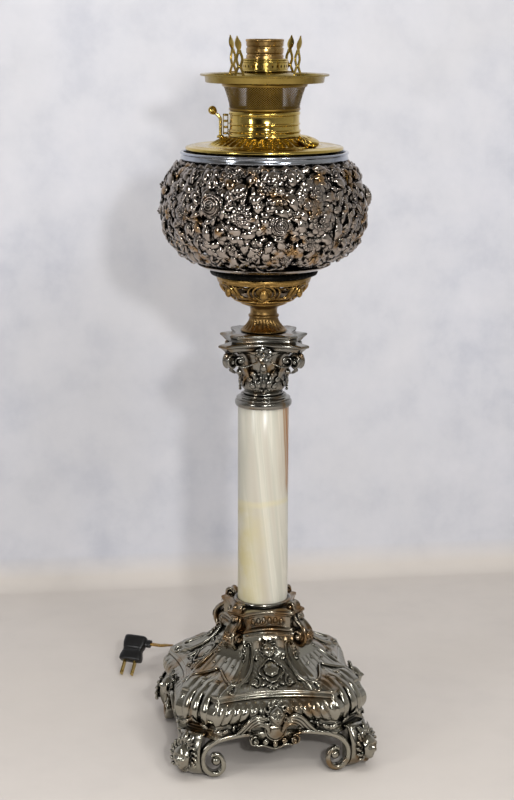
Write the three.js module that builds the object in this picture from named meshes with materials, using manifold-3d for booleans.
// A banquet lamp: an oil lamp of about 1890 that was wired for a bulb, on a cast four-footed base.
// Millimetres, +Z up. The origin is on the table under the middle of the base, which is square to X and Y.
import * as THREE from 'three';
import { mergeVertices } from 'three/addons/utils/BufferGeometryUtils.js';
import Module from 'manifold-3d';

const wasm = await Module();
wasm.setup();

// Driving dimensions
const FOOT_HEIGHT = 76;          // lower base casting, floor to seat of the dome
const DOME_HEIGHT = 52;          // upper base casting
const PLINTH_HEIGHT = 19;        // square block under the column
const COLUMN_RADIUS = 25.4;      // onyx column, 2 in across
const COLUMN_LENGTH = 205.7;     // onyx column, ends in the rings included
const CAPITAL_HEIGHT = 46.2;
const ABACUS_HEIGHT = 16;
const NECK_HEIGHT = 26.5;        // fluted brass foot of the font
const CUP_HEIGHT = 29;           // pierced brass cup
const BOWL_RADIUS = 100.9;       // pierced flower bowl, widest
const BOWL_HEIGHT = 105.7;
const FONT_RADIUS = 69.5;        // drop-in oil font
const BURNER_RADIUS = 33.8;
const BURNER_HEIGHT = 24.7;
const BASKET_HEIGHT = 26;
const WICK_TUBE_RADIUS = 17.9;
const FLANGE_RADIUS = 61.9;      // shade ring of the gallery
const CHIMNEY_RADIUS = 38;       // glass fitter that the prongs hold
const BASE_SIDE = 82;            // axis to the middle of a side, at the waist of the foot casting
const BASE_CORNER = 112;         // axis to a cut corner, at the same height
const PIPE_RADIUS = 6.6;         // threaded lamp pipe
const UPPER_TURN_DEG = -8.5;     // column and lamp head against the base, about Z

// Clearances
const SEAT = 0.3;                // between parts that rest on each other
const SLIP = 0.4;                // round parts that slide or drop in
const OVERRUN = 2;               // how far a cut runs past a face

// Facets round a circle
const ROUND = 24;
const SMALL_ROUND = 12;

// Heights that stack up from the floor
const Z_DOME = FOOT_HEIGHT + SEAT;
const Z_DOME_TOP = Z_DOME + DOME_HEIGHT;
const Z_PLINTH = Z_DOME_TOP + SEAT;
const Z_PLINTH_TOP = Z_PLINTH + PLINTH_HEIGHT;
const RING_FLOOR = 3.2;          // metal under the end of the column
const LOW_RING_HEIGHT = 7.2;
const TOP_RING_HEIGHT = 14.2;
const TOP_RING_CAP = 10.2;       // metal over the end of the column
const Z_LOW_RING = Z_PLINTH_TOP + SEAT;
const Z_COLUMN = Z_LOW_RING + RING_FLOOR + SEAT;
const Z_COLUMN_TOP = Z_COLUMN + COLUMN_LENGTH;
const Z_TOP_RING_END = Z_COLUMN_TOP + SEAT + TOP_RING_CAP;
const Z_TOP_RING = Z_TOP_RING_END - TOP_RING_HEIGHT;
const Z_CAPITAL = Z_TOP_RING_END + SEAT;
const Z_CAPITAL_TOP = Z_CAPITAL + CAPITAL_HEIGHT;
const Z_ABACUS = Z_CAPITAL_TOP + SEAT;
const Z_ABACUS_TOP = Z_ABACUS + ABACUS_HEIGHT;
const Z_NECK = Z_ABACUS_TOP + SEAT;
const Z_NECK_TOP = Z_NECK + NECK_HEIGHT;
const Z_CUP = Z_NECK_TOP + SEAT;
const Z_CUP_TOP = Z_CUP + CUP_HEIGHT;
const SEAT_PLATE_HEIGHT = 5.8;
const Z_SEAT_PLATE = Z_CUP_TOP + SEAT;
const Z_SEAT_PLATE_TOP = Z_SEAT_PLATE + SEAT_PLATE_HEIGHT;
const Z_BOWL = Z_SEAT_PLATE_TOP + SEAT;
const Z_BOWL_TOP = Z_BOWL + BOWL_HEIGHT;
const BAND_HEIGHT = 8;
const Z_BAND = Z_BOWL_TOP + SEAT;
const Z_BAND_TOP = Z_BAND + BAND_HEIGHT;
const Z_CAP = Z_BAND_TOP + SEAT;
const CAP_HEIGHT = 13.4;
const Z_CAP_TOP = Z_CAP + CAP_HEIGHT;
const Z_BURNER = Z_CAP_TOP + SEAT;
const Z_BURNER_TOP = Z_BURNER + BURNER_HEIGHT;
const Z_BASKET = Z_BURNER_TOP + SEAT;
const Z_BASKET_TOP = Z_BASKET + BASKET_HEIGHT;
const Z_FLANGE = Z_BASKET_TOP + SEAT;

// Finishes
const finish = (color, roughness, metalness) => ({ color, roughness, metalness });
const SILVER = finish(0x8f8c84, 0.35, 1);
const BRASS = finish(0xd7b048, 0.18, 1);
const AGED_BRASS = finish(0x9c7836, 0.35, 1);
const NICKEL = finish(0xc4c8cf, 0.12, 1);
const ONYX = finish(0xe6e4d4, 0.25, 0);
const STEEL = finish(0x8a8d90, 0.4, 1);
const TIN = finish(0xa5a49c, 0.45, 1);
const PORCELAIN = finish(0xf2f0ea, 0.3, 0);
const CORK = finish(0x8a6a44, 0.8, 0);
const CORD_GOLD = finish(0xa88c4c, 0.4, 0);
const BLACK_PLASTIC = finish(0x1c1c1c, 0.4, 0);
const GREY_PLASTIC = finish(0x7d8584, 0.5, 0);

// Geometry helpers

// The closed surface with its shared vertices merged, no needles and its faces outwards.
function closed(geometry) {
  const bare = geometry.clone();
  bare.deleteAttribute('normal');
  bare.deleteAttribute('uv');
  const merged = mergeVertices(bare, 1e-4);
  const place = merged.getAttribute('position');
  const corner = [new THREE.Vector3(), new THREE.Vector3(), new THREE.Vector3()];
  const kept = [];
  let volume = 0;
  for (let i = 0; i < merged.index.count; i += 3) {
    const face = [0, 1, 2].map((k) => merged.index.getX(i + k));
    if (new Set(face).size < 3) continue;
    face.forEach((v, k) => corner[k].fromBufferAttribute(place, v));
    volume += corner[0].dot(corner[1].clone().cross(corner[2]));
    kept.push(face);
  }
  const outward = volume < 0 ? kept.map(([a, b, c]) => [a, c, b]) : kept;
  merged.setIndex(outward.flat());
  return merged;
}

function solid(geometry) {
  const shape = closed(geometry);
  const vertProperties = new Float32Array(shape.getAttribute('position').array);
  const triVerts = new Uint32Array(shape.index.array);
  return new wasm.Manifold(new wasm.Mesh({ numProp: 3, vertProperties, triVerts }));
}

function surface(body) {
  const made = body.getMesh();
  const geometry = new THREE.BufferGeometry();
  geometry.setAttribute('position', new THREE.BufferAttribute(new Float32Array(made.vertProperties), 3));
  geometry.setIndex([...made.triVerts]);
  return geometry;
}

const join = (...parts) => surface(parts.map(solid).reduce((a, b) => a.add(b)));
const cut = (whole, ...tools) => surface(tools.map(solid).reduce((a, b) => a.subtract(b), solid(whole)));

// A body turned about Z from [radius, height] pairs. A profile that leaves the axis closes on itself.
function turned(profile, facets = ROUND) {
  const points = profile.map(([r, z]) => new THREE.Vector2(r, z));
  if (points[0].x > 0 || points.at(-1).x > 0) points.push(points[0].clone());
  return closed(new THREE.LatheGeometry(points, facets).rotateX(Math.PI / 2));
}

// A plain tube or, without an inner radius, a plain rod, along Z.
function tube(outer, inner, low, high, facets = ROUND) {
  const rod = [[0, low], [outer, low], [outer, high], [0, high]];
  const pipe = [[inner, low], [outer, low], [outer, high], [inner, high]];
  return turned(inner > 0 ? pipe : rod, facets);
}

// A body lofted through rings of points. A loop of rings closes on itself, and others get end caps.
function lofted(rings, loop = false) {
  const count = rings[0].length;
  const places = rings.flat().flatMap((p) => [p.x, p.y, p.z]);
  const faces = [];
  const last = loop ? rings.length : rings.length - 1;
  for (let i = 0; i < last; i += 1) {
    const a = i * count;
    const b = ((i + 1) % rings.length) * count;
    for (let j = 0; j < count; j += 1) {
      const k = (j + 1) % count;
      faces.push(a + j, a + k, b + k, a + j, b + k, b + j);
    }
  }
  if (!loop) {
    for (const [start, flip] of [[0, true], [(rings.length - 1) * count, false]]) {
      for (let j = 1; j < count - 1; j += 1) {
        const face = [start, start + j, start + j + 1];
        faces.push(...(flip ? face.reverse() : face));
      }
    }
  }
  const geometry = new THREE.BufferGeometry();
  geometry.setAttribute('position', new THREE.Float32BufferAttribute(places, 3));
  geometry.setIndex(faces);
  return closed(geometry);
}

// A flat outline in X and Z, given depth along Y from near to far.
function slab(outline, near, far) {
  const shape = new THREE.Shape(outline.map(([x, z]) => new THREE.Vector2(x, z)));
  const plate = new THREE.ExtrudeGeometry(shape, { depth: far - near, bevelEnabled: false });
  return closed(plate.rotateX(Math.PI / 2).translate(0, far, 0));
}

function box(x0, x1, y0, y1, z0, z1) {
  const block = new THREE.BoxGeometry(x1 - x0, y1 - y0, z1 - z0);
  return closed(block.translate((x0 + x1) / 2, (y0 + y1) / 2, (z0 + z1) / 2));
}

const turnedBy = (geometry, degrees) => geometry.clone().rotateZ(THREE.MathUtils.degToRad(degrees));
const movedBy = (geometry, x, y, z) => geometry.clone().translate(x, y, z);

const lamp = new THREE.Group();
const head = new THREE.Group();
head.rotation.z = THREE.MathUtils.degToRad(UPPER_TURN_DEG);
lamp.add(head);

function add(parent, name, geometry, look) {
  const mesh = new THREE.Mesh(geometry, new THREE.MeshStandardMaterial(look));
  mesh.name = name;
  parent.add(mesh);
  return mesh;
}

// The base castings

const SIDE_STEPS = 4;            // straight steps along a hollow side
const SQRT2 = Math.SQRT2;
const SIDES = [0, 90, 180, 270];
const DIAGONALS = [45, 135, 225, 315];

// One level of a square plan with cut corners and sides that curve in to the middle.
function plan(side, corner, halfCut, z) {
  const out = (corner + halfCut) / SQRT2;
  const along = (corner - halfCut) / SQRT2;
  const ring = [];
  for (let quarter = 0; quarter < 4; quarter += 1) {
    for (let i = 0; i <= SIDE_STEPS; i += 1) {
      const t = (2 * i) / SIDE_STEPS - 1;
      const point = new THREE.Vector3(side + (out - side) * t * t, along * t, z);
      ring.push(point.applyAxisAngle(new THREE.Vector3(0, 0, 1), (quarter * Math.PI) / 2));
    }
  }
  return ring;
}

// A hollow casting from [height, side, corner, half cut] levels, with a wall and open ends.
function castingShell(levels, wall) {
  const outer = levels.map(([z, side, corner, halfCut]) => plan(side, corner, halfCut, z));
  const inner = levels.map(([z, side, corner, halfCut]) => plan(side - wall, corner - wall, halfCut, z));
  return lofted([...outer, ...inner.reverse()], true);
}

const FOOT_WALL = 4;
const SKIRT_LOW = 40;            // lower edge of the skirt, over the arches
const SKIRT_HEIGHT = 10;
const WAIST = SKIRT_LOW + SKIRT_HEIGHT;
const GADROON_LOW = 55;
const GADROON_OUT = 9;           // how far the lobed band stands out from the waist
const SKIRT_IN = 3;
const CORNER_HALF = 24;          // half the width of a cut corner

function baseFoot() {
  const gadroonMid = (GADROON_LOW + FOOT_HEIGHT) / 2;
  const shell = castingShell([
    [SKIRT_LOW, BASE_SIDE, BASE_CORNER, CORNER_HALF],
    [WAIST, BASE_SIDE - SKIRT_IN, BASE_CORNER - SKIRT_IN, CORNER_HALF],
    [GADROON_LOW, BASE_SIDE + GADROON_OUT * 0.6, BASE_CORNER + GADROON_OUT * 0.4, CORNER_HALF],
    [gadroonMid, BASE_SIDE + GADROON_OUT, BASE_CORNER + GADROON_OUT * 0.7, CORNER_HALF],
    [FOOT_HEIGHT - SKIRT_IN, BASE_SIDE + GADROON_OUT * 0.4, BASE_CORNER + GADROON_OUT * 0.2, CORNER_HALF],
    [FOOT_HEIGHT, BASE_SIDE, BASE_CORNER, CORNER_HALF],
  ], FOOT_WALL);
  const sides = SIDES.flatMap((turn) => [
    turnedBy(apron(), turn),
    turnedBy(scrollFoot(1), turn),
    turnedBy(scrollFoot(-1), turn),
    turnedBy(cornerBlock(), turn),
  ]);
  return cut(join(shell, ...sides), exitHole());
}

// The hanging apron of a side: a palmette drop between two small scrolls.
const APRON_DROP = 24;
const APRON_HALF = 48;
const APRON_THICK = 8;
const APRON_SCROLL_AT = 20;      // middle of a small scroll, along the side
const APRON_SCROLL_LOW = 30;

function apron() {
  const half = [
    [0, APRON_DROP],
    [APRON_SCROLL_AT / 3, APRON_SCROLL_LOW - SKIRT_HEIGHT * 0.1],
    [APRON_SCROLL_AT * 0.7, APRON_SCROLL_LOW],
    [APRON_SCROLL_AT, APRON_SCROLL_LOW - SKIRT_HEIGHT * 0.2],
    [APRON_SCROLL_AT * 1.25, APRON_SCROLL_LOW + SKIRT_HEIGHT * 0.3],
    [APRON_SCROLL_AT * 1.4, SKIRT_LOW - SKIRT_HEIGHT * 0.1],
    [APRON_HALF, SKIRT_LOW - SKIRT_HEIGHT * 0.2],
    [APRON_HALF, SKIRT_LOW + SKIRT_HEIGHT * 0.6],
    [APRON_SCROLL_AT * 1.4, WAIST],
  ];
  const mirrored = half.slice(1).reverse().map(([x, z]) => [-x, z]);
  const front = BASE_SIDE + APRON_THICK / 2;
  return slab([...half, ...mirrored], -front, -front + APRON_THICK);
}

// A C-scroll foot: a band that comes off the skirt, turns down and curls in.
const SCROLL_AT = 61;            // middle of the foot's volute, along the side
const SCROLL_BAND = 2.6;         // half the width of the band
const SCROLL_DEPTH = 10;
const VOLUTE_RADIUS = 12.5;
const SCROLL_STEPS = 13;

function scrollFoot(hand) {
  const low = VOLUTE_RADIUS + SCROLL_BAND + SEAT;
  const path = new THREE.CatmullRomCurve3([
    [APRON_HALF - VOLUTE_RADIUS * 0.3, SKIRT_LOW + SCROLL_BAND * 0.4],
    [SCROLL_AT, SKIRT_LOW],
    [SCROLL_AT + VOLUTE_RADIUS * 0.95, SKIRT_LOW - VOLUTE_RADIUS * 0.8],
    [SCROLL_AT + VOLUTE_RADIUS, low],
    [SCROLL_AT + VOLUTE_RADIUS * 0.6, low - VOLUTE_RADIUS * 0.8],
    [SCROLL_AT, low - VOLUTE_RADIUS],
    [SCROLL_AT - VOLUTE_RADIUS * 0.62, low - VOLUTE_RADIUS * 0.7],
    [SCROLL_AT - VOLUTE_RADIUS * 0.8, low],
    [SCROLL_AT - VOLUTE_RADIUS * 0.4, low + VOLUTE_RADIUS * 0.6],
  ].map(([x, z]) => new THREE.Vector3(x, z, 0)));
  const edge = (side) => Array.from({ length: SCROLL_STEPS + 1 }, (_, i) => {
    const at = path.getPoint(i / SCROLL_STEPS);
    const along = path.getTangent(i / SCROLL_STEPS);
    return [hand * (at.x - side * SCROLL_BAND * along.y), at.y + side * SCROLL_BAND * along.x];
  });
  const outline = [...edge(1), ...edge(-1).reverse()];
  const front = BASE_SIDE + SCROLL_DEPTH;
  return slab(hand > 0 ? outline : outline.reverse(), -front, -front + SCROLL_DEPTH);
}

// The block with a mask at a corner of the foot casting, lofted square to the diagonal.
const BLOCK_BACK = 92;
const BLOCK_FRONT = 116;
const MASK_OUT = 14;

function cornerBlock() {
  const levels = [
    // height, half width, how far the mask stands out
    [0, CORNER_HALF * 0.6, MASK_OUT * 0.6],
    [FOOT_HEIGHT * 0.12, CORNER_HALF * 0.85, MASK_OUT * 0.9],
    [FOOT_HEIGHT * 0.38, CORNER_HALF * 1.08, MASK_OUT],
    [FOOT_HEIGHT * 0.58, CORNER_HALF, MASK_OUT * 0.6],
    [FOOT_HEIGHT * 0.72, CORNER_HALF * 0.8, -MASK_OUT * 0.1],
  ];
  const diagonal = new THREE.Vector3(1, -1, 0).normalize();
  const across = new THREE.Vector3(1, 1, 0).normalize();
  const rings = levels.map(([z, half, mask]) => [
    [BLOCK_BACK, -half * 0.8],
    [BLOCK_FRONT - MASK_OUT * 0.3, -half],
    [BLOCK_FRONT + mask * 0.7, -half * 0.5],
    [BLOCK_FRONT + mask, 0],
    [BLOCK_FRONT + mask * 0.7, half * 0.5],
    [BLOCK_FRONT - MASK_OUT * 0.3, half],
    [BLOCK_BACK, half * 0.8],
  ].map(([out, side]) => (
    new THREE.Vector3(0, 0, z).addScaledVector(diagonal, out).addScaledVector(across, side)
  )));
  return lofted(rings);
}

// Where the cord leaves, through the skirt at the back
const EXIT_X = 31;
const EXIT_Z = 45.5;
const GROMMET_NECK = 5.4;

function exitHole() {
  const bore = new THREE.CylinderGeometry(GROMMET_NECK + SEAT, GROMMET_NECK + SEAT, FOOT_HEIGHT, SMALL_ROUND);
  return movedBy(bore, EXIT_X, BASE_SIDE, EXIT_Z);
}

add(lamp, 'base_foot', baseFoot(), SILVER);

const DOME_WALL = 3.5;
const DOME_IN = 1;               // how far the dome's edge stands in from the foot casting
const DOME_TOP_SIDE = 31;
const PIPE_HOLE = PIPE_RADIUS + SLIP;
const TOP_WEB = 4;               // thickness of the web that the pipe nut clamps

function baseDome() {
  const rise = (share) => Z_DOME + DOME_HEIGHT * share;
  const topCorner = DOME_TOP_SIDE * SQRT2;
  const topCut = CORNER_HALF * 0.35;
  const levels = [
    [rise(0), BASE_SIDE - DOME_IN, BASE_CORNER - DOME_IN, CORNER_HALF],
    [rise(0.14), BASE_SIDE - DOME_IN * 4, BASE_CORNER - DOME_IN * 4, CORNER_HALF],
    [rise(0.3), BASE_SIDE * 0.8, BASE_CORNER * 0.86, CORNER_HALF * 0.9],
    [rise(0.46), BASE_SIDE * 0.64, BASE_CORNER * 0.72, CORNER_HALF * 0.8],
    [rise(0.64), BASE_SIDE * 0.51, BASE_CORNER * 0.58, CORNER_HALF * 0.7],
    [rise(0.82), BASE_SIDE * 0.42, BASE_CORNER * 0.46, CORNER_HALF * 0.5],
  ];
  const outer = levels.map(([z, side, corner, halfCut]) => plan(side, corner, halfCut, z));
  const inner = levels.map(([z, side, corner, halfCut]) => (
    plan(side - DOME_WALL, corner - DOME_WALL, halfCut, z)
  ));
  const underWeb = plan(DOME_TOP_SIDE - DOME_WALL, topCorner - DOME_WALL, topCut, Z_DOME_TOP - TOP_WEB);
  const top = plan(DOME_TOP_SIDE, topCorner, topCut, Z_DOME_TOP);
  const hole = (z) => top.map((p) => new THREE.Vector3(p.x, p.y, 0).setLength(PIPE_HOLE).setZ(z));
  const web = [hole(Z_DOME_TOP), hole(Z_DOME_TOP - TOP_WEB), underWeb];
  return lofted([...outer, top, ...web, ...inner.reverse()], true);
}

add(lamp, 'base_dome', baseDome(), SILVER);

const PLINTH_SIDE = 30;
const PLINTH_CORNER = 44;
const PLINTH_CUT = 9.6;          // half the width of a cut corner
const PLINTH_LIP = 3;
const CONSOLE_OUT = 53;          // tip of a corner console, from the axis
const CONSOLE_ROOT = 8;          // how far a console reaches into the plinth
const CONSOLE_HALF = 6;

function plinth() {
  const waist = PLINTH_HEIGHT * 0.18;
  const body = lofted([
    plan(PLINTH_SIDE + PLINTH_LIP, PLINTH_CORNER + PLINTH_LIP, PLINTH_CUT, Z_PLINTH),
    plan(PLINTH_SIDE + PLINTH_LIP, PLINTH_CORNER + PLINTH_LIP, PLINTH_CUT, Z_PLINTH + waist),
    plan(PLINTH_SIDE, PLINTH_CORNER, PLINTH_CUT, Z_PLINTH + waist * 1.4),
    plan(PLINTH_SIDE, PLINTH_CORNER, PLINTH_CUT, Z_PLINTH_TOP - waist),
    plan(PLINTH_SIDE + PLINTH_LIP * 0.7, PLINTH_CORNER + PLINTH_LIP * 0.7, PLINTH_CUT, Z_PLINTH_TOP),
  ]);
  const outline = [
    [PLINTH_CORNER - CONSOLE_ROOT, Z_PLINTH + waist * 0.3],
    [CONSOLE_OUT, Z_PLINTH + waist * 0.3],
    [CONSOLE_OUT, Z_PLINTH + PLINTH_HEIGHT * 0.35],
    [CONSOLE_OUT - CONSOLE_ROOT * 0.75, Z_PLINTH + PLINTH_HEIGHT * 0.6],
    [CONSOLE_OUT - CONSOLE_ROOT * 0.4, Z_PLINTH_TOP],
    [PLINTH_CORNER - CONSOLE_ROOT / 2, Z_PLINTH_TOP + PLINTH_HEIGHT * 0.45],
    [PLINTH_CORNER - CONSOLE_ROOT, Z_PLINTH_TOP],
  ];
  const upright = slab(outline, -CONSOLE_HALF, CONSOLE_HALF);
  const consoles = DIAGONALS.map((turn) => turnedBy(upright, turn));
  return cut(join(body, ...consoles), tube(PIPE_HOLE, 0, 0, Z_PLINTH_TOP + OVERRUN, SMALL_ROUND));
}

add(lamp, 'plinth', plinth(), SILVER);

// The column and what clamps it: pipe, washers and nuts

const COLUMN_BORE = 8;
const RING_OUT = 2.9;            // how far the rings stand out from the column
const RING_BORE = PIPE_HOLE + SEAT * 2;

add(head, 'column_base_ring', turned([
  [RING_BORE, Z_LOW_RING],
  [COLUMN_RADIUS + RING_OUT * 0.65, Z_LOW_RING],
  [COLUMN_RADIUS + RING_OUT, Z_LOW_RING + LOW_RING_HEIGHT * 0.35],
  [COLUMN_RADIUS + RING_OUT * 0.8, Z_LOW_RING + LOW_RING_HEIGHT * 0.75],
  [COLUMN_RADIUS + RING_OUT * 0.45, Z_LOW_RING + LOW_RING_HEIGHT],
  [COLUMN_RADIUS + SLIP, Z_LOW_RING + LOW_RING_HEIGHT],
  [COLUMN_RADIUS + SLIP, Z_LOW_RING + RING_FLOOR],
  [RING_BORE, Z_LOW_RING + RING_FLOOR],
]), SILVER);

add(head, 'onyx_column', tube(COLUMN_RADIUS, COLUMN_BORE, Z_COLUMN, Z_COLUMN_TOP), ONYX);

const BELL_RADIUS = 22;
const NECKING_RADIUS = 20;

add(head, 'column_top_ring', turned([
  [RING_BORE, Z_COLUMN_TOP + SEAT],
  [COLUMN_RADIUS + SLIP, Z_COLUMN_TOP + SEAT],
  [COLUMN_RADIUS + SLIP, Z_TOP_RING],
  [COLUMN_RADIUS + RING_OUT * 0.5, Z_TOP_RING],
  [COLUMN_RADIUS + RING_OUT * 0.93, Z_TOP_RING + TOP_RING_HEIGHT * 0.25],
  [COLUMN_RADIUS + RING_OUT * 0.86, Z_TOP_RING + TOP_RING_HEIGHT * 0.55],
  [COLUMN_RADIUS + RING_OUT * 0.17, Z_TOP_RING + TOP_RING_HEIGHT * 0.85],
  [NECKING_RADIUS * 1.05, Z_TOP_RING_END],
  [RING_BORE, Z_TOP_RING_END],
]), SILVER);

// The capital: a bell with four corner volutes under a plate with hollow sides
const ABACUS_CORNER = 55;
const ABACUS_SIDE = 30.5;
const VOLUTE_HALF = 5;
const VOLUTE_REACH = 46.5;       // from the axis to the outside of a corner volute
const ABACUS_CUT = 5;            // half the width of a cut corner
const ABACUS_NECK = 3.5;         // depth of the hollow between the two mouldings

function capital() {
  const rise = (share) => Z_CAPITAL + CAPITAL_HEIGHT * share;
  const bell = turned([
    [0, rise(0)],
    [NECKING_RADIUS * 1.05, rise(0)],
    [NECKING_RADIUS, rise(0.08)],
    [NECKING_RADIUS, rise(0.16)],
    [BELL_RADIUS, rise(0.35)],
    [BELL_RADIUS * 1.05, rise(0.6)],
    [BELL_RADIUS * 1.18, rise(0.85)],
    [BELL_RADIUS * 1.32, rise(1)],
    [0, rise(1)],
  ]);
  const outline = [
    [BELL_RADIUS * 0.73, rise(0.42)],
    [BELL_RADIUS * 1.4, rise(0.42)],
    [VOLUTE_REACH * 0.9, rise(0.5)],
    [VOLUTE_REACH, rise(0.68)],
    [VOLUTE_REACH * 0.99, rise(0.95)],
    [VOLUTE_REACH * 0.92, rise(1)],
    [BELL_RADIUS * 0.73, rise(1)],
  ];
  const volutes = DIAGONALS.map((turn) => turnedBy(slab(outline, -VOLUTE_HALF, VOLUTE_HALF), turn));
  const bore = tube(PIPE_HOLE, 0, Z_CAPITAL - OVERRUN, Z_CAPITAL_TOP + OVERRUN, SMALL_ROUND);
  return cut(join(bell, ...volutes), bore);
}

add(head, 'capital', capital(), SILVER);

function abacus() {
  const levels = [
    [0, 0],
    [ABACUS_HEIGHT * 0.23, 0],
    [ABACUS_HEIGHT * 0.27, ABACUS_NECK],
    [ABACUS_HEIGHT * 0.56, ABACUS_NECK],
    [ABACUS_HEIGHT * 0.6, ABACUS_NECK * 0.3],
    [ABACUS_HEIGHT, ABACUS_NECK * 0.3],
  ];
  const rings = levels.map(([z, inset]) => (
    plan(ABACUS_SIDE - inset, ABACUS_CORNER - inset, ABACUS_CUT, Z_ABACUS + z)
  ));
  const core = (z) => rings[0].map((p) => new THREE.Vector3(p.x, p.y, 0).setLength(PIPE_HOLE / 2).setZ(z));
  const plate = lofted([...rings, core(Z_ABACUS_TOP), core(Z_ABACUS)], true);
  return cut(plate, tube(PIPE_HOLE, 0, Z_ABACUS - OVERRUN, Z_ABACUS_TOP + OVERRUN, SMALL_ROUND));
}

add(head, 'abacus', abacus(), SILVER);

const NECK_RADIUS = 14;
const NECK_FLARE = 22.6;

add(head, 'font_foot', turned([
  [PIPE_HOLE, Z_NECK],
  [NECK_FLARE, Z_NECK],
  [NECK_FLARE, Z_NECK + NECK_HEIGHT * 0.05],
  [NECK_RADIUS * 1.18, Z_NECK + NECK_HEIGHT * 0.2],
  [NECK_RADIUS, Z_NECK + NECK_HEIGHT * 0.34],
  [NECK_RADIUS * 1.05, Z_NECK + NECK_HEIGHT * 0.42],
  [NECK_RADIUS * 0.97, Z_NECK + NECK_HEIGHT * 0.5],
  [NECK_RADIUS * 0.957, Z_NECK + NECK_HEIGHT * 0.75],
  [NECK_RADIUS * 1.07, Z_NECK + NECK_HEIGHT * 0.88],
  [NECK_RADIUS * 1.5, Z_NECK_TOP],
  [PIPE_HOLE, Z_NECK_TOP],
]), AGED_BRASS);

// The pierced cup between the neck and the bowl, with six windows
const CUP_RADIUS = 46.8;
const CUP_WALL = 2.4;
const CUP_WINDOWS = 6;

function galleryCup() {
  const rise = (share) => Z_CUP + CUP_HEIGHT * share;
  const outer = [
    [NECK_RADIUS * 1.57, rise(0)],
    [CUP_RADIUS * 0.62, rise(0.21)],
    [CUP_RADIUS * 0.83, rise(0.46)],
    [CUP_RADIUS * 0.96, rise(0.83)],
    [CUP_RADIUS, rise(0.9)],
    [CUP_RADIUS, rise(1)],
  ];
  const inner = [
    [CUP_RADIUS - CUP_WALL, rise(1)],
    [CUP_RADIUS * 0.96 - CUP_WALL, rise(0.84)],
    [CUP_RADIUS * 0.83 - CUP_WALL, rise(0.52)],
    [CUP_RADIUS * 0.6 - CUP_WALL, rise(0.3)],
    [PIPE_HOLE, rise(0.22)],
  ];
  const shell = turned([[PIPE_HOLE, rise(0)], ...outer, ...inner]);
  const windowHalf = CUP_RADIUS * 0.15;
  const windows = Array.from({ length: CUP_WINDOWS }, (_, i) => {
    const reach = CUP_RADIUS + OVERRUN;
    const opening = box(CUP_RADIUS * 0.5, reach, -windowHalf, windowHalf, rise(0.5), rise(0.82));
    return turnedBy(opening, ((i + 0.5) * 360) / CUP_WINDOWS);
  });
  return cut(shell, ...windows);
}

add(head, 'gallery_cup', galleryCup(), AGED_BRASS);

const SEAT_PLATE_RADIUS = 51.5;
const SEAT_LIP = 6;              // width of the rim that the bowl stands on
const AIR_HOLES = 6;
const AIR_HOLE_RADIUS = 5;

// The plate that the bowl stands on, with air holes for the draught.
function seatPlate() {
  const plate = turned([
    [PIPE_HOLE, Z_SEAT_PLATE],
    [SEAT_PLATE_RADIUS - SEAT_LIP / 3, Z_SEAT_PLATE],
    [SEAT_PLATE_RADIUS, Z_SEAT_PLATE + SEAT_PLATE_HEIGHT * 0.6],
    [SEAT_PLATE_RADIUS, Z_SEAT_PLATE_TOP],
    [SEAT_PLATE_RADIUS - SEAT_LIP, Z_SEAT_PLATE_TOP],
    [SEAT_PLATE_RADIUS - SEAT_LIP * 1.3, Z_SEAT_PLATE + SEAT_PLATE_HEIGHT * 0.5],
    [PIPE_HOLE, Z_SEAT_PLATE + SEAT_PLATE_HEIGHT * 0.5],
  ]);
  const holes = Array.from({ length: AIR_HOLES }, (_, i) => {
    const bore = tube(AIR_HOLE_RADIUS, 0, Z_SEAT_PLATE - OVERRUN, Z_SEAT_PLATE_TOP + OVERRUN, SMALL_ROUND);
    return turnedBy(movedBy(bore, SEAT_PLATE_RADIUS / 2, 0, 0), (i * 360) / AIR_HOLES);
  });
  return cut(plate, ...holes);
}

add(head, 'bowl_seat', seatPlate(), SILVER);

const NUT_RADIUS = 11;
const NUT_HEIGHT = 6;
const WASHER_RADIUS = 16;
const WASHER_HEIGHT = 2;
const PIPE_WALL = 2;
const PIPE_TAIL = 8;             // pipe below the lower nut
const PIPE_PROUD = 2;            // pipe above the upper nut
const Z_WEB = Z_DOME_TOP - TOP_WEB;
const Z_LOW_WASHER = Z_WEB - SEAT - WASHER_HEIGHT;
const Z_LOW_NUT = Z_LOW_WASHER - SEAT - NUT_HEIGHT;
const Z_PIPE = Z_LOW_NUT - PIPE_TAIL;
const Z_TOP_NUT = Z_SEAT_PLATE + SEAT_PLATE_HEIGHT * 0.5 + SEAT;
const Z_PIPE_TOP = Z_TOP_NUT + NUT_HEIGHT + PIPE_PROUD;
const THREAD_GAP = 0.35;

add(head, 'lamp_pipe', tube(PIPE_RADIUS, PIPE_RADIUS - PIPE_WALL, Z_PIPE, Z_PIPE_TOP, SMALL_ROUND), STEEL);
add(head, 'lower_washer',
  tube(WASHER_RADIUS, PIPE_HOLE, Z_LOW_WASHER, Z_LOW_WASHER + WASHER_HEIGHT, SMALL_ROUND), STEEL);

// A hexagon nut, bored to clear the faceted pipe.
const hexNut = (low) => cut(
  tube(NUT_RADIUS, 0, low, low + NUT_HEIGHT, 6),
  tube(PIPE_RADIUS + THREAD_GAP, 0, low - OVERRUN, low + NUT_HEIGHT + OVERRUN, SMALL_ROUND),
);
add(head, 'lower_nut', hexNut(Z_LOW_NUT), STEEL);
add(head, 'upper_nut', hexNut(Z_TOP_NUT), BRASS);

// The bowl of pierced flowers, its rim band and the oil font inside

const BOWL_WALL = 3.5;
const BOWL_FOOT_RADIUS = 57;
// Radius and height of the bowl's outside as shares of its widest radius and of its height
const BOWL_SHARES = [
  [0.58, 0.02], [0.72, 0.06], [0.84, 0.14], [0.94, 0.28],
  [0.99, 0.44], [1, 0.58], [0.975, 0.74], [0.92, 0.9], [0.84, 1],
];

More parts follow.
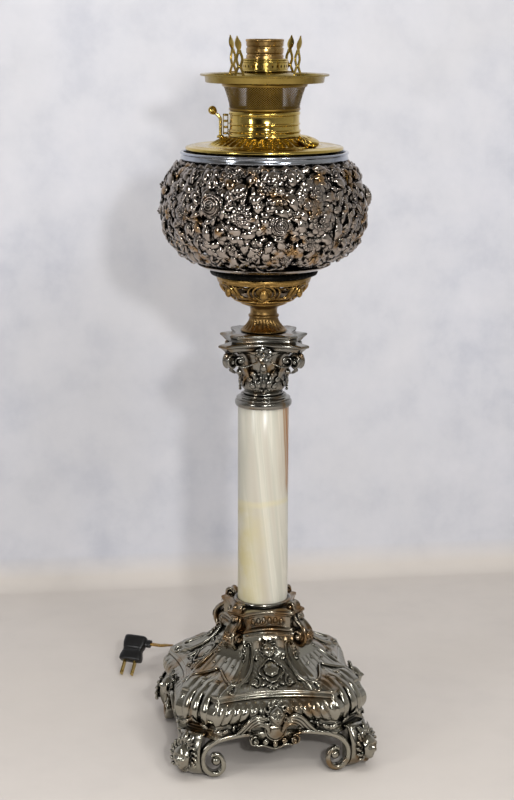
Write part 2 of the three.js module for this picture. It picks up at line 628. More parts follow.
function bowl() {
  const outer = BOWL_SHARES.map(([r, z]) => [BOWL_RADIUS * r, Z_BOWL + BOWL_HEIGHT * z]);
  const inner = BOWL_SHARES.map(([r, z]) => [BOWL_RADIUS * r - BOWL_WALL, Z_BOWL + BOWL_HEIGHT * z]);
  const lip = SEAT_PLATE_RADIUS - SEAT_LIP;
  const foot = BOWL_FOOT_RADIUS - BOWL_WALL;
  inner[0] = [foot, Z_BOWL + BOWL_WALL];
  return turned([[lip, Z_BOWL], [foot, Z_BOWL], ...outer, ...inner.reverse(), [lip, Z_BOWL + BOWL_WALL]]);
}

add(head, 'pierced_bowl', bowl(), SILVER);

const BAND_RADIUS = 81.8;
const BAND_ROLL = 2;             // how far the band's upper edge rolls in
const BAND_BORE = FONT_RADIUS + SLIP * 2;

add(head, 'rim_band', turned([
  [BAND_BORE, Z_BAND],
  [BAND_RADIUS - BAND_ROLL / 2, Z_BAND],
  [BAND_RADIUS, Z_BAND + BAND_HEIGHT * 0.3],
  [BAND_RADIUS, Z_BAND + BAND_HEIGHT * 0.7],
  [BAND_RADIUS - BAND_ROLL, Z_BAND_TOP],
  [BAND_BORE, Z_BAND_TOP],
]), NICKEL);

const CAP_RADIUS = 76.7;
const CAP_WALL = 1.4;
const CAP_HUB_OUT = 2.2;         // where the flutes start, out from the burner
const CAP_HUB = BURNER_RADIUS + CAP_HUB_OUT;
const CAP_FLUTE_RUN = 17;        // length of the flutes
const CAP_FLUTE_END = CAP_HUB + CAP_FLUTE_RUN;
const WICK_ROOM = 4.4;           // from the outside of the draught tube to that of the wick tube
const DRAFT_RADIUS = WICK_TUBE_RADIUS - WICK_ROOM;
const FONT_WALL = 1.2;
const TUBE_WALL = 1;
const FONT_LIFT = 3;             // font over the bowl's floor
const FONT_PROUD = 2.4;          // font above the rim band
const FONT_FLOOR_RADIUS = 44;
const FONT_BEND = 14;            // height of each of the two bends at the font's foot
const FONT_COLLAR = 6;
const Z_FONT = Z_BOWL + BOWL_WALL + FONT_LIFT;
const Z_FONT_TOP = Z_BAND_TOP + FONT_PROUD;

// The oil font, a tin drum whose floor is soldered round the draught tube.
function fontTank() {
  const hole = DRAFT_RADIUS + SLIP;
  const shoulder = FONT_RADIUS - FONT_BEND * 0.3;
  return turned([
    [hole, Z_FONT],
    [FONT_FLOOR_RADIUS, Z_FONT],
    [shoulder, Z_FONT + FONT_BEND],
    [FONT_RADIUS, Z_FONT + FONT_BEND * 2],
    [FONT_RADIUS, Z_FONT_TOP],
    [FONT_RADIUS - FONT_WALL, Z_FONT_TOP],
    [FONT_RADIUS - FONT_WALL, Z_FONT + FONT_BEND * 2],
    [shoulder - FONT_WALL, Z_FONT + FONT_BEND],
    [FONT_FLOOR_RADIUS - FONT_WALL, Z_FONT + FONT_WALL],
    [hole + FONT_WALL, Z_FONT + FONT_WALL],
    [hole + FONT_WALL, Z_FONT + FONT_COLLAR],
    [hole, Z_FONT + FONT_COLLAR],
  ]);
}

add(head, 'font_tank', fontTank(), TIN);

// Places on the font's cap: the lift rod at the left and the filler at the right, seen from the front
const ROD_OUT = 8.7;             // out from the burner
const ROD_AT = new THREE.Vector2(-BURNER_RADIUS - ROD_OUT, 0);
const ROD_RADIUS = 1.6;
const GLAND_RADIUS = 3.6;
const GLAND_NECK = 2.6;
const FILLER_OUT_X = 7.2;        // to the right of the burner's edge
const FILLER_OUT_Y = 25;         // to the front of the axis
const FILLER_AT = new THREE.Vector2(BURNER_RADIUS + FILLER_OUT_X, -FILLER_OUT_Y);
const FILLER_RADIUS = 8;
const FILLER_NECK = 7;
const CAP_LAP = 3.8;             // how far the cap reaches in under the burner's edge
const BURNER_BORE = BURNER_RADIUS - CAP_LAP;

const CAP_RIM_HEIGHT = 4.6;
const CAP_ROLL = 8;              // width of the flat rim
const HUB_DROP = 0.4;
const Z_SLOPE_TOP = Z_CAP_TOP - HUB_DROP;
const Z_SLOPE_FOOT = Z_CAP + CAP_RIM_HEIGHT + HUB_DROP * 2;

// Height of the cap's fluted slope at a distance from the axis
const slopeAt = (r) => {
  const share = (CAP_FLUTE_END - r) / (CAP_FLUTE_END - CAP_HUB);
  return Z_SLOPE_FOOT + (Z_SLOPE_TOP - Z_SLOPE_FOOT) * THREE.MathUtils.clamp(share, 0, 1);
};

// The filler stands on the slope and leans out with it. Its own Z runs along the neck, from the seat.
const FILLER_OUT = FILLER_AT.length();
const fillerHigh = slopeAt(FILLER_OUT - FILLER_RADIUS);
const fillerLow = slopeAt(FILLER_OUT + FILLER_RADIUS);
const FILLER_LEAN = Math.atan2(fillerHigh - fillerLow, FILLER_RADIUS * 2);
const filler = new THREE.Group();
filler.rotation.set(0, FILLER_LEAN, FILLER_AT.angle(), 'ZYX');
filler.position.set(FILLER_AT.x, FILLER_AT.y, (fillerHigh + fillerLow) / 2 + SEAT);
filler.updateMatrix();
head.add(filler);

function fontCap() {
  const top = [
    [BURNER_BORE, Z_CAP_TOP],
    [CAP_HUB, Z_SLOPE_TOP],
    [CAP_FLUTE_END, Z_SLOPE_FOOT],
    [CAP_RADIUS - CAP_ROLL, Z_CAP + CAP_RIM_HEIGHT],
    [CAP_RADIUS - CAP_WALL, Z_CAP + CAP_RIM_HEIGHT * 0.96],
    [CAP_RADIUS, Z_CAP + CAP_RIM_HEIGHT * 0.6],
    [CAP_RADIUS, Z_CAP],
  ];
  const under = [
    [CAP_RADIUS - CAP_WALL * 2, Z_CAP],
    [CAP_RADIUS - CAP_WALL * 2, Z_CAP + CAP_RIM_HEIGHT - CAP_WALL],
    [CAP_FLUTE_END, Z_SLOPE_FOOT - CAP_WALL],
    [CAP_HUB, Z_SLOPE_TOP - CAP_WALL],
    [BURNER_BORE, Z_CAP_TOP - CAP_WALL],
  ];
  const rodHole = tube(GLAND_NECK + SEAT, 0, Z_CAP - OVERRUN, Z_CAP_TOP + OVERRUN, SMALL_ROUND);
  const fillerHole = tube(FILLER_NECK + SEAT, 0, -FILLER_TAIL * 2, FILLER_TAIL * 2);
  return cut(
    turned([...top, ...under]),
    movedBy(rodHole, ROD_AT.x, ROD_AT.y, 0),
    fillerHole.clone().applyMatrix4(filler.matrix),
  );
}

// Filler: neck, cork gasket and cap
const FILLER_NECK_HEIGHT = 2.4;
const FILLER_WALL = 1.2;
const FILLER_TAIL = 6;
const GASKET_HEIGHT = 1.2;
const GASKET_WIDTH = 2.4;
const FILLER_CAP_RADIUS = 10.3;
const FILLER_CAP_TOP = 1.4;      // thickness of the cap's top
const FILLER_CAP_CROWN = 0.5;
const GASKET_LOW = FILLER_NECK_HEIGHT + SEAT;
const FILLER_CAP_UNDER = GASKET_LOW + GASKET_HEIGHT + SEAT;
const FILLER_CAP_EDGE = SEAT * 2;

add(head, 'font_cap', fontCap(), BRASS);

add(filler, 'filler_neck', turned([
  [FILLER_NECK - FILLER_WALL, -FILLER_TAIL],
  [FILLER_NECK, -FILLER_TAIL],
  [FILLER_NECK, 0],
  [FILLER_RADIUS, 0],
  [FILLER_RADIUS, FILLER_NECK_HEIGHT],
  [FILLER_NECK - FILLER_WALL, FILLER_NECK_HEIGHT],
]), BRASS);

const GASKET_RADIUS = FILLER_RADIUS - SLIP;
add(filler, 'filler_gasket',
  tube(GASKET_RADIUS, GASKET_RADIUS - GASKET_WIDTH, GASKET_LOW, GASKET_LOW + GASKET_HEIGHT), CORK);

add(filler, 'filler_cap', turned([
  [0, FILLER_CAP_UNDER],
  [FILLER_RADIUS + SLIP, FILLER_CAP_UNDER],
  [FILLER_RADIUS + SLIP, FILLER_CAP_EDGE],
  [FILLER_CAP_RADIUS, FILLER_CAP_EDGE],
  [FILLER_CAP_RADIUS, FILLER_CAP_UNDER + FILLER_CAP_TOP * 0.3],
  [FILLER_CAP_RADIUS - FILLER_CAP_TOP, FILLER_CAP_UNDER + FILLER_CAP_TOP],
  [0, FILLER_CAP_UNDER + FILLER_CAP_TOP + FILLER_CAP_CROWN],
]), BRASS);

// Burner

const WEB_AT = 2;                // height of the burner's web over its foot
const WEB_THICK = 1.4;
const BURNER_WALL = 1.2;

add(head, 'burner_body', turned([
  [DRAFT_RADIUS + SLIP, Z_BURNER + WEB_AT],
  [BURNER_RADIUS - BURNER_WALL, Z_BURNER + WEB_AT],
  [BURNER_RADIUS - BURNER_WALL, Z_BURNER],
  [CAP_HUB * 0.97, Z_BURNER],
  [BURNER_RADIUS * 1.02, Z_BURNER + BURNER_HEIGHT * 0.16],
  [BURNER_RADIUS, Z_BURNER + BURNER_HEIGHT * 0.24],
  [BURNER_RADIUS, Z_BURNER_TOP],
  [BURNER_RADIUS - BURNER_WALL, Z_BURNER_TOP],
  [BURNER_RADIUS - BURNER_WALL, Z_BURNER + WEB_AT + WEB_THICK],
  [DRAFT_RADIUS + SLIP, Z_BURNER + WEB_AT + WEB_THICK],
]), BRASS);

const BASKET_FLARE = 7.2;
const BASKET_TOP_RADIUS = BURNER_RADIUS + BASKET_FLARE;
const BASKET_WALL = 1;

add(head, 'basket', turned([
  [BURNER_RADIUS - BASKET_WALL, Z_BASKET],
  [BURNER_RADIUS, Z_BASKET],
  [BASKET_TOP_RADIUS, Z_BASKET_TOP],
  [BASKET_TOP_RADIUS - BASKET_WALL, Z_BASKET_TOP],
]), BRASS);

const Z_WICK_TUBE = Z_BURNER + WEB_AT + WEB_THICK + SEAT;
const WICK_TUBE_LENGTH = 88.6;
const Z_WICK_TUBE_TOP = Z_WICK_TUBE + WICK_TUBE_LENGTH;
const TUBE_BEAD = 0.6;
const TUBE_RIM = 13;             // height of the band with beads at the tube's mouth

add(head, 'wick_tube', turned([
  [WICK_TUBE_RADIUS - TUBE_WALL, Z_WICK_TUBE],
  [WICK_TUBE_RADIUS, Z_WICK_TUBE],
  [WICK_TUBE_RADIUS, Z_WICK_TUBE_TOP - TUBE_RIM],
  [WICK_TUBE_RADIUS - TUBE_BEAD, Z_WICK_TUBE_TOP - TUBE_RIM * 0.88],
  [WICK_TUBE_RADIUS, Z_WICK_TUBE_TOP - TUBE_RIM * 0.77],
  [WICK_TUBE_RADIUS, Z_WICK_TUBE_TOP - TUBE_RIM * 0.23],
  [WICK_TUBE_RADIUS + TUBE_BEAD, Z_WICK_TUBE_TOP - TUBE_RIM * 0.12],
  [WICK_TUBE_RADIUS, Z_WICK_TUBE_TOP],
  [WICK_TUBE_RADIUS - TUBE_WALL, Z_WICK_TUBE_TOP],
]), AGED_BRASS);

// Gallery: shade ring, collar and four chimney prongs, lifted off in one

const FLANGE_WALL = 1.1;
const FLANGE_HEIGHT = 7.6;
const FLANGE_WALL_RADIUS = 57.6;
const COLLAR_RADIUS = 22;
const COLLAR_HEIGHT = 12.2;
const COLLAR_BORE = WICK_TUBE_RADIUS + TUBE_BEAD + SLIP * 2;
const DECK_RISE = 9;             // how far the deck climbs to the collar
const DECK_BORE = COLLAR_RADIUS * 0.91;
const DECK_SHOULDER = COLLAR_RADIUS * 1.23;
const DECK_FLAT = CHIMNEY_RADIUS * 0.87;
const Z_DECK = Z_FLANGE + FLANGE_WALL;
const FLANGE_LEAN = 0.6;

add(head, 'shade_ring', turned([
  [DECK_BORE, Z_FLANGE + DECK_RISE],
  [DECK_SHOULDER, Z_FLANGE + DECK_RISE * 0.89],
  [DECK_FLAT, Z_FLANGE],
  [FLANGE_WALL_RADIUS - FLANGE_LEAN, Z_FLANGE],
  [FLANGE_WALL_RADIUS, Z_FLANGE + FLANGE_HEIGHT - FLANGE_WALL],
  [FLANGE_RADIUS, Z_FLANGE + FLANGE_HEIGHT - FLANGE_WALL * 0.8],
  [FLANGE_RADIUS, Z_FLANGE + FLANGE_HEIGHT],
  [FLANGE_WALL_RADIUS - FLANGE_WALL, Z_FLANGE + FLANGE_HEIGHT],
  [FLANGE_WALL_RADIUS - FLANGE_LEAN - FLANGE_WALL, Z_DECK],
  [DECK_FLAT, Z_DECK],
  [DECK_SHOULDER, Z_DECK + DECK_RISE * 0.89],
  [DECK_BORE, Z_DECK + DECK_RISE],
]), BRASS);

const Z_COLLAR = Z_DECK + DECK_RISE + SEAT;

add(head, 'gallery_collar', turned([
  [COLLAR_RADIUS - TUBE_WALL, Z_COLLAR],
  [COLLAR_RADIUS, Z_COLLAR],
  [COLLAR_RADIUS, Z_COLLAR + COLLAR_HEIGHT],
  [COLLAR_BORE, Z_COLLAR + COLLAR_HEIGHT],
  [COLLAR_BORE, Z_COLLAR + COLLAR_HEIGHT - TUBE_WALL],
  [COLLAR_RADIUS - TUBE_WALL, Z_COLLAR + COLLAR_HEIGHT - TUBE_WALL],
]), BRASS);

const PRONG_TURNS = [-38, 52, 142, 232];
const PRONG_THICK = 1.2;
const PRONG_HEIGHT = 43;
const PRONG_HALF = 5;
const PRONG_FOOT = 3;            // length of the tab that is riveted to the deck

// A chimney prong: a plate with an oval opening and a spade tip that leans out.
function prong() {
  const outline = [
    [-PRONG_HALF * 0.7, 0],
    [PRONG_HALF * 0.7, 0],
    [PRONG_HALF, PRONG_HEIGHT * 0.3],
    [PRONG_HALF * 0.5, PRONG_HEIGHT * 0.6],
    [PRONG_HALF * 0.9, PRONG_HEIGHT * 0.85],
    [0, PRONG_HEIGHT],
    [-PRONG_HALF * 0.9, PRONG_HEIGHT * 0.85],
    [-PRONG_HALF * 0.5, PRONG_HEIGHT * 0.6],
    [-PRONG_HALF, PRONG_HEIGHT * 0.3],
  ];
  const window = [
    [-PRONG_HALF * 0.5, PRONG_HEIGHT * 0.16],
    [PRONG_HALF * 0.5, PRONG_HEIGHT * 0.16],
    [PRONG_HALF * 0.55, PRONG_HEIGHT * 0.36],
    [0, PRONG_HEIGHT * 0.5],
    [-PRONG_HALF * 0.55, PRONG_HEIGHT * 0.36],
  ];
  const near = -PRONG_THICK / 2;
  const plate = cut(slab(outline, near, -near), slab(window, near - OVERRUN, -near + OVERRUN));
  const foot = box(-PRONG_HALF * 0.7, PRONG_HALF * 0.7, near, PRONG_FOOT, 0, PRONG_THICK);
  const out = CHIMNEY_RADIUS + SLIP + PRONG_THICK / 2;
  return turnedBy(join(plate, foot), -90).translate(out, 0, Z_DECK + SEAT);
}

PRONG_TURNS.forEach((turn, i) => add(head, `prong_${i + 1}`, turnedBy(prong(), turn), BRASS));

// Wick raiser: a rod with a bent top and a ball, in a guide on the burner, and the ring it carries

const GUIDE_HEIGHT = 18.5;
const GUIDE_PROUD = 3;           // guide above the rod's bend
const GUIDE_HALF = 3;
const GLAND_HEIGHT = 3;
const Z_GLAND = slopeAt(-ROD_AT.x - GLAND_RADIUS) + SEAT;
const GLAND_TAIL = 7;
const Z_GUIDE = Z_GLAND + GLAND_HEIGHT + SEAT;
const ROD_BEND = 4.4;            // run of the rod's top towards the ball
const Z_ROD_TOP = Z_GUIDE + GUIDE_HEIGHT - GUIDE_PROUD;
const CARRIER_LIFT = 42;         // wick carrier over the font's floor
const Z_CARRIER = Z_FONT + CARRIER_LIFT;
const CARRIER_HEIGHT = 26;
const CARRIER_WIDTH = 2.7;
const CARRIER_RADIUS = DRAFT_RADIUS + CARRIER_WIDTH;
const ARM_HALF = 2.5;
const ARM_HEIGHT = 3;
const BALL_RADIUS = 4.2;

add(head, 'rod_gland', movedBy(turned([
  [ROD_RADIUS + SEAT, Z_GLAND - GLAND_TAIL],
  [GLAND_NECK, Z_GLAND - GLAND_TAIL],
  [GLAND_NECK, Z_GLAND],
  [GLAND_RADIUS, Z_GLAND],
  [GLAND_RADIUS, Z_GLAND + GLAND_HEIGHT],
  [ROD_RADIUS + SEAT, Z_GLAND + GLAND_HEIGHT],
], SMALL_ROUND), ROD_AT.x, ROD_AT.y, 0), BRASS);

// The guide is a plate box on the burner's side that stands beside the rod.
function rodGuide() {
  const nearRod = ROD_AT.x + ROD_RADIUS + SEAT;
  const onBurner = -BURNER_RADIUS - SEAT * 2;
  const block = box(nearRod, onBurner, -GUIDE_HALF, GUIDE_HALF, Z_GUIDE, Z_GUIDE + GUIDE_HEIGHT);
  const flare = turned([
    [0, Z_BURNER],
    [CAP_HUB * 0.97 + SEAT, Z_BURNER],
    [BURNER_RADIUS + SEAT * 2, Z_BURNER + BURNER_HEIGHT * 0.24],
    [0, Z_BURNER + BURNER_HEIGHT * 0.24],
  ]);
  const cone = turned([
    [0, Z_BURNER_TOP],
    [BURNER_RADIUS + SEAT * 2, Z_BURNER_TOP],
    [BASKET_TOP_RADIUS + SEAT * 2, Z_BASKET_TOP],
    [0, Z_BASKET_TOP],
  ]);
  return cut(block, flare, cone);
}

add(head, 'rod_guide', rodGuide(), BRASS);

function liftRod() {
  const path = new THREE.CurvePath();
  const top = new THREE.Vector3(ROD_AT.x, ROD_AT.y, Z_ROD_TOP);
  const tip = new THREE.Vector3(ROD_AT.x - ROD_BEND, ROD_AT.y, Z_ROD_TOP + ROD_BEND);
  path.add(new THREE.LineCurve3(top, tip));
  const section = new THREE.Shape().absarc(0, 0, ROD_RADIUS * 0.95, 0, Math.PI * 2);
  const bent = new THREE.ExtrudeGeometry(section, { steps: 1, curveSegments: 5, extrudePath: path });
  const straight = tube(ROD_RADIUS, 0, Z_CARRIER + ARM_HEIGHT + SEAT, Z_ROD_TOP + ROD_RADIUS * 0.8, 10);
  return join(movedBy(straight, ROD_AT.x, ROD_AT.y, 0), bent);
}

add(head, 'lift_rod', liftRod(), BRASS);

const ball = new THREE.SphereGeometry(BALL_RADIUS, 12, 7);
const ballOut = ROD_BEND + (BALL_RADIUS + SLIP) * 0.72;
add(head, 'lift_knob', closed(movedBy(ball, ROD_AT.x - ballOut, ROD_AT.y, Z_ROD_TOP + ballOut)), BRASS);

function wickCarrier() {
  const ring = tube(CARRIER_RADIUS, DRAFT_RADIUS + SLIP, Z_CARRIER, Z_CARRIER + CARRIER_HEIGHT);
  const reach = ROD_AT.x - ARM_HALF;
  const root = SLIP * 2 - CARRIER_RADIUS;
  const arm = box(reach, root, -ARM_HALF, ARM_HALF, Z_CARRIER, Z_CARRIER + ARM_HEIGHT);
  return join(ring, arm);
}

add(head, 'wick_carrier', wickCarrier(), BRASS);

// Bulb socket on the draught tube, and the wires to it

const SOCKET_FLOOR = 8;
const SOCKET_HEIGHT = 44;
const SOCKET_RADIUS = WICK_TUBE_RADIUS - TUBE_WALL - SLIP;
const SOCKET_WALL = 1.7;
const SHELL_RADIUS = SOCKET_RADIUS - SOCKET_WALL - SLIP;
const SHELL_WALL = 0.8;
const DRAFT_LENGTH = 164;
const Z_DRAFT = Z_FONT - TUBE_WALL;
const Z_SOCKET = Z_DRAFT + DRAFT_LENGTH + SEAT;
const CONTACT_RADIUS = 4;
const CONTACT_HEIGHT = 3;
const LEAD_RADIUS = 2.6;
const LEAD_HOLE = 3.6;
const SHELL_DROP = 2;            // shell below the rim of the socket

add(head, 'draft_tube',
  tube(DRAFT_RADIUS, DRAFT_RADIUS - TUBE_WALL, Z_DRAFT, Z_DRAFT + DRAFT_LENGTH), AGED_BRASS);

add(head, 'socket_body', turned([
  [LEAD_HOLE, Z_SOCKET],
  [SOCKET_RADIUS, Z_SOCKET],
  [SOCKET_RADIUS, Z_SOCKET + SOCKET_HEIGHT],
  [SHELL_RADIUS + SLIP, Z_SOCKET + SOCKET_HEIGHT],
  [SHELL_RADIUS + SLIP, Z_SOCKET + SOCKET_FLOOR],
  [LEAD_HOLE, Z_SOCKET + SOCKET_FLOOR],
]), PORCELAIN);

const Z_SHELL = Z_SOCKET + SOCKET_FLOOR + SEAT;

const Z_SHELL_TOP = Z_SOCKET + SOCKET_HEIGHT - SHELL_DROP;

add(head, 'socket_shell', tube(SHELL_RADIUS, SHELL_RADIUS - SHELL_WALL, Z_SHELL, Z_SHELL_TOP), BRASS);
add(head, 'centre_contact', tube(CONTACT_RADIUS, 0, Z_SHELL, Z_SHELL + CONTACT_HEIGHT, SMALL_ROUND), BRASS);

// Cord: where it runs, and its flat section

const CORD_WIDTH = 5.6;
const CORD_THICK = 2.8;
const CORD_SIDES = 8;
const GROMMET_TAIL = 22;
const GROMMET_FLANGE = 7.5;
const GROMMET_FLANGE_HEIGHT = 1.8;
const GROMMET_TIP = 3.9;
const GROMMET_PROUD = 6;         // straight part, past the skirt
const Y_SKIRT_IN = BASE_SIDE - SKIRT_IN - FOOT_WALL;
const Y_GROMMET_IN = Y_SKIRT_IN - GROMMET_FLANGE_HEIGHT - SEAT * 4;
const Y_GROMMET_OUT = BASE_SIDE + GROMMET_PROUD + GROMMET_TAIL;

// A rubber bush in the skirt, with a tapered tail that keeps the cord from kinking.
function grommet() {
  const bush = turned([
    [0, Y_GROMMET_IN],
    [GROMMET_FLANGE, Y_GROMMET_IN],
    [GROMMET_FLANGE, Y_GROMMET_IN + GROMMET_FLANGE_HEIGHT],
    [GROMMET_NECK, Y_GROMMET_IN + GROMMET_FLANGE_HEIGHT],
    [GROMMET_NECK, BASE_SIDE + GROMMET_PROUD],
    [GROMMET_TIP, Y_GROMMET_OUT],
    [0, Y_GROMMET_OUT],
  ], SMALL_ROUND);
  return closed(movedBy(bush.rotateX(-Math.PI / 2), EXIT_X, 0, EXIT_Z));
}

add(lamp, 'cord_grommet', grommet(), BLACK_PLASTIC);

// The wires inside, from the socket down the draught tube and the pipe, and across the base to the bush.
const LEAD_POINTS = [
  [0, 0, Z_SHELL - SEAT * 2],
  [0, 0, Z_SEAT_PLATE],
  [0, 0, Z_COLUMN],
  [0, 0, Z_PIPE + 10],
  [0, 0, Z_PIPE - 8],
  [6, 10, 80],
  [17, 30, 58],
  [27, 50, 47.5],
  [EXIT_X, Y_GROMMET_IN - 9, EXIT_Z],
  [EXIT_X, Y_GROMMET_IN - SEAT, EXIT_Z],
];
const insidePoints = LEAD_POINTS.map((p) => new THREE.Vector3(...p));
const leadPath = new THREE.CatmullRomCurve3(insidePoints, false, 'centripetal');
const leadSection = new THREE.Shape().absarc(0, 0, LEAD_RADIUS, 0, Math.PI * 2);
add(lamp, 'lead_inside', closed(new THREE.ExtrudeGeometry(leadSection, {
  steps: 26, curveSegments: 4, extrudePath: leadPath,
})), CORD_GOLD);

// A flat cord along points, its wide side level, with square ends.
function flatCord(points, sides) {
  const up = new THREE.Vector3(0, 0, 1);
  const rings = points.map((at, i) => {
    const before = points[Math.max(i - 1, 0)];
    const after = points[Math.min(i + 1, points.length - 1)];
    const along = after.clone().sub(before).normalize();
    const side = along.clone().cross(up).normalize();
    const over = side.clone().cross(along).normalize();
    return Array.from({ length: sides }, (_, k) => {
      const a = ((k + 0.5) / sides) * Math.PI * 2;
      return at.clone()
        .addScaledVector(side, (Math.cos(a) * CORD_WIDTH) / 2)
        .addScaledVector(over, (Math.sin(a) * CORD_THICK) / 2);
    });
  });
  return lofted(rings);
}

const lengthOf = (points) => points.slice(1).reduce((sum, p, i) => sum + p.distanceTo(points[i]), 0);

// The coil: four layers that spiral in, out, in and out again
const COIL_OUTER = 38;
const COIL_CENTRE = new THREE.Vector2(EXIT_X - COIL_OUTER, 172);
const TURN_GAP = 0.7;
const LAYER_GAP = 0.75;
const TURN_PITCH = CORD_WIDTH + TURN_GAP;
const LAYER_PITCH = CORD_THICK + LAYER_GAP;
const COIL_LAYERS = 4;
const LAYER_TURNS = 1.375;       // turns of steady spiral in each layer
const COIL_STEPS = 24;           // steps in a turn
const COIL_END_SHARE = 0.125;    // part of a turn past the last layer, where the tail goes off
const COIL_LIFT = 2.4;           // middle of the lowest layer over the floor

// Radius and height at a number of turns from the start: the spiral turns back midway through each climb.
function coilPoints() {
  const layerAndClimb = LAYER_TURNS + 0.5;
  const turns = COIL_LAYERS * layerAndClimb - 0.5 + COIL_END_SHARE;
  const points = [];
  for (let i = 0; i <= Math.round(turns * COIL_STEPS); i += 1) {
    const turn = i / COIL_STEPS;
    const layer = Math.min(Math.floor(turn / layerAndClimb), COIL_LAYERS - 1);
    const climb = layer < COIL_LAYERS - 1 ? Math.max(turn - layer * layerAndClimb - LAYER_TURNS, 0) * 2 : 0;
    const reversals = Array.from({ length: COIL_LAYERS - 1 }, (_, k) => (k + 1) * layerAndClimb - 0.25);
    let inward = turn;
    reversals.forEach((at, k) => {
      if (turn > at) inward += (k % 2 === 0 ? -2 : 2) * (turn - at);
    });
    const radius = COIL_OUTER - TURN_PITCH * inward;
    const angle = turn * Math.PI * 2;
    points.push(new THREE.Vector3(
      COIL_CENTRE.x + radius * Math.cos(angle),
      COIL_CENTRE.y + radius * Math.sin(angle),
      COIL_LIFT + LAYER_PITCH * (layer + climb),
    ));
  }
  const first = points[0].clone();
  const last = points.at(-1).clone();
  const end = turns * Math.PI * 2;
  points.unshift(first.sub(new THREE.Vector3(0, CORD_WIDTH, 0)));
  points.push(last.add(new THREE.Vector3(-Math.sin(end), Math.cos(end), 0).multiplyScalar(CORD_WIDTH)));
  return points;
}

const coil = coilPoints();

// The least gap of the coil's oval section to itself, on points over half a turn apart along it.
function leastGap(points) {
  let least = Infinity;
  for (let i = 0; i < points.length; i += 1) {
    for (let j = i + COIL_STEPS / 2; j < points.length; j += 1) {
      const away = points[i].clone().sub(points[j]);
      const share = Math.hypot(Math.hypot(away.x, away.y) / CORD_WIDTH, away.z / CORD_THICK);
      least = Math.min(least, away.length() * (1 - 1 / share));
    }
  }
  return least;
}

// From the bush down to the floor and on to the coil
const LEAD_DROP = [
  [EXIT_X, Y_GROMMET_OUT + SEAT, EXIT_Z],
  [EXIT_X, 116, 45],
  [EXIT_X, 123, 42.5],
  [EXIT_X, 129, 37.5],
  [EXIT_X, 133, 30.5],
  [EXIT_X, 135.5, 23],
  [EXIT_X, 138.5, 15.5],
  [EXIT_X, 143, 8.8],
  [EXIT_X, 149, 4.4],
  [EXIT_X, 155, 2.8],
  [EXIT_X, COIL_CENTRE.y - CORD_WIDTH * 2, COIL_LIFT],
].map((p) => new THREE.Vector3(...p));

// From the coil over the floor and up to the side of the plug
const TAIL_RUN = [
  [9.5, 210.3, 12.6],
  [1, 218, 10.3],
  [-8, 225.5, 7],
  [-19, 233.5, 3.9],
  [-31, 240, 2.1],
  [-44, 244.5, 4],
  [-56, 243, 9.5],
  [-65, 236.5, 16],
  [-70.5, 226.5, 22],
  [-74, 216, 26.5],
  [-79, 208, 29.8],
  [-86, 202.8, 31.6],
].map((p) => new THREE.Vector3(...p));

// Plug: it stands on the tips of its blades, leaning away
const PLUG_TIPS = new THREE.Vector3(-126.7, 192.9, 2.3);
const BLADE_DIRECTION = new THREE.Vector3(-0.319, -0.579, -0.75).normalize();
const BLADE_LENGTH = 17;
const BLADE_WIDTH = 6.3;
const BLADE_THICK = 1.5;
const BLADE_SPACING = 12.7;
const PLUG_LENGTH = 30;
const PLUG_WIDTH = 27;
const PLUG_THICK = 13;
const INSERT_DEPTH = 1.6;
const CORD_ALONG_PLUG = 23;      // cord entry, from the front face
const NECK_LENGTH = 9;           // cord's neck at the side of the plug
const NECK_SUNK = 3;             // part of the neck inside the body
const NECK_OUTER = 4.6;
const PLUG_CHAMFER = 2.5;
const PLUG_WAIST = 2;            // how far the grip is drawn in
const INSERT_HALF = PLUG_WIDTH * 0.36;
const INSERT_THICK = PLUG_THICK * 0.26;

const rear = BLADE_DIRECTION.clone().negate();
const across = new THREE.Vector3(rear.y, -rear.x, 0).normalize();
const through = rear.clone().cross(across);
const plug = new THREE.Group();
plug.applyMatrix4(new THREE.Matrix4().makeBasis(across, through, rear).setPosition(PLUG_TIPS));
lamp.add(plug);

function plugBody() {
  const half = PLUG_WIDTH / 2;
  const levels = [
    [0, half, 0.86],
    [PLUG_LENGTH * 0.1, half, 1],
    [PLUG_LENGTH * 0.3, half - PLUG_WAIST, 0.9],
    [PLUG_LENGTH * 0.55, half - PLUG_WAIST, 0.9],
    [PLUG_LENGTH * 0.93, half, 1],
    [PLUG_LENGTH, half - PLUG_CHAMFER * 0.6, 0.8],
  ];
  const rings = levels.map(([z, wide, thickShare]) => {
    const thick = (PLUG_THICK / 2) * thickShare;
    const flat = wide - PLUG_CHAMFER;
    const edge = thick - PLUG_CHAMFER;
    return [
      [flat, -thick], [wide, -edge], [wide, edge], [flat, thick],
      [-flat, thick], [-wide, edge], [-wide, -edge], [-flat, -thick],
    ].map(([x, y]) => new THREE.Vector3(x, y, BLADE_LENGTH + z));
  });
  const neck = tube(NECK_OUTER, 0, 0, NECK_LENGTH, SMALL_ROUND).clone().rotateY(Math.PI / 2);
  const recess = box(-INSERT_HALF, INSERT_HALF, -INSERT_THICK, INSERT_THICK, 0, BLADE_LENGTH + INSERT_DEPTH);
  return cut(join(lofted(rings), movedBy(neck, half - NECK_SUNK, 0, BLADE_LENGTH + CORD_ALONG_PLUG)), recess);
}

add(plug, 'plug_body', plugBody(), BLACK_PLASTIC);

function plugInsert() {
  const half = INSERT_HALF - SEAT;
  const thick = INSERT_THICK - SEAT;
  return box(-half, half, -thick, thick, BLADE_LENGTH, BLADE_LENGTH + INSERT_DEPTH - SEAT);
}

add(plug, 'plug_insert', plugInsert(), GREY_PLASTIC);

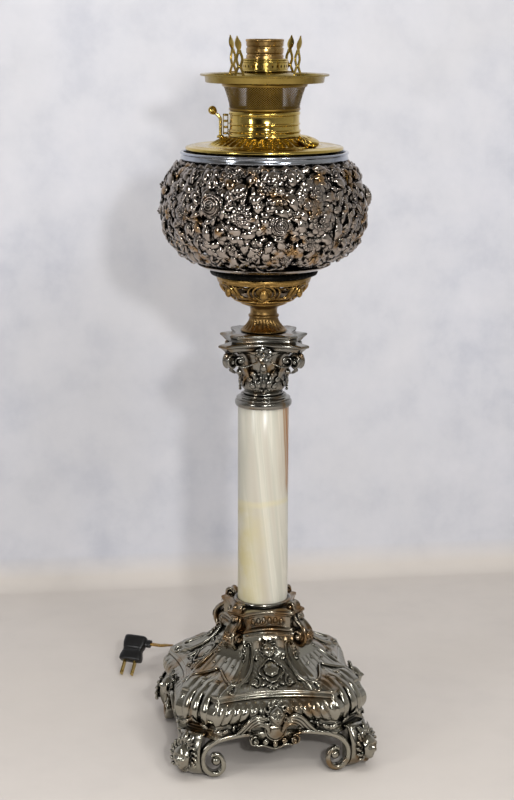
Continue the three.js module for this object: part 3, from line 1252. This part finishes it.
[-1, 1].forEach((hand, i) => {
  const at = (hand * BLADE_SPACING) / 2;
  const half = BLADE_THICK / 2;
  const blade = box(at - half, at + half, -BLADE_WIDTH / 2, BLADE_WIDTH / 2, 0, BLADE_LENGTH - SEAT);
  add(plug, `plug_blade_${i + 1}`, blade, BRASS);
});

const neckEnd = PLUG_TIPS.clone()
  .addScaledVector(rear, BLADE_LENGTH + CORD_ALONG_PLUG)
  .addScaledVector(across, PLUG_WIDTH / 2 - NECK_SUNK + NECK_LENGTH + SEAT);

const smooth = (points, step) => {
  const curve = new THREE.CatmullRomCurve3(points, false, 'centripetal');
  return curve.getSpacedPoints(Math.ceil(curve.getLength() / step));
};
const CORD_STEP = 13;
const leadEnd = coil[0].clone().sub(new THREE.Vector3(0, SEAT, 0));
const leadPoints = [...smooth(LEAD_DROP, CORD_STEP), leadEnd];
const coilEnd = coil.at(-1);
const coilHeading = coilEnd.clone().sub(coil.at(-2)).normalize();
const tailStart = coilEnd.clone().addScaledVector(coilHeading, SEAT);
const tailTip = neckEnd.clone().addScaledVector(across, CORD_THICK);
const tailPoints = [...smooth([tailStart, ...TAIL_RUN, tailTip], CORD_STEP), neckEnd];

add(lamp, 'cord_lead', flatCord(leadPoints, CORD_SIDES), CORD_GOLD);
add(lamp, 'cord_coil', flatCord(coil, 6), CORD_GOLD);
add(lamp, 'cord_tail', flatCord(tailPoints, CORD_SIDES), CORD_GOLD);

// The tie round the bundle of turns, on the side of the coil away from both ends
const TIE_TURN_DEG = 225;
const TIE_WIDTH = 7;
const TIE_THICK = 0.8;
const bundleOut = COIL_OUTER + TURN_PITCH / 4 + CORD_WIDTH / 2 + SEAT * 2;
const bundleIn = COIL_OUTER - TURN_PITCH * (LAYER_TURNS + 0.25) - CORD_WIDTH / 2 - SEAT * 2;
const bundleTop = COIL_LIFT + LAYER_PITCH * (COIL_LAYERS - 1) + CORD_THICK / 2 + SEAT;
const bundleLow = COIL_LIFT - CORD_THICK / 2 - SEAT / 2;
const tieHalf = TIE_WIDTH / 2;
const tieLow = bundleLow - TIE_THICK;
const tieTop = bundleTop + TIE_THICK;
const tie = cut(
  box(bundleIn - TIE_THICK, bundleOut + TIE_THICK, -tieHalf, tieHalf, tieLow, tieTop),
  box(bundleIn, bundleOut, -tieHalf - OVERRUN, tieHalf + OVERRUN, bundleLow, bundleTop),
);
add(lamp, 'coil_tie', turnedBy(tie, TIE_TURN_DEG).translate(COIL_CENTRE.x, COIL_CENTRE.y, 0), BLACK_PLASTIC);

const cordLengths = [leadPoints, coil, tailPoints].map(lengthOf);
const cordTotal = cordLengths.reduce((a, b) => a + b, 0);
console.log(`cord ${cordTotal.toFixed(0)} mm: ${cordLengths.map((l) => l.toFixed(0)).join(', ')}`);
console.log(`least gap of the coil to itself ${leastGap(coil).toFixed(2)} mm`);

export default lamp;
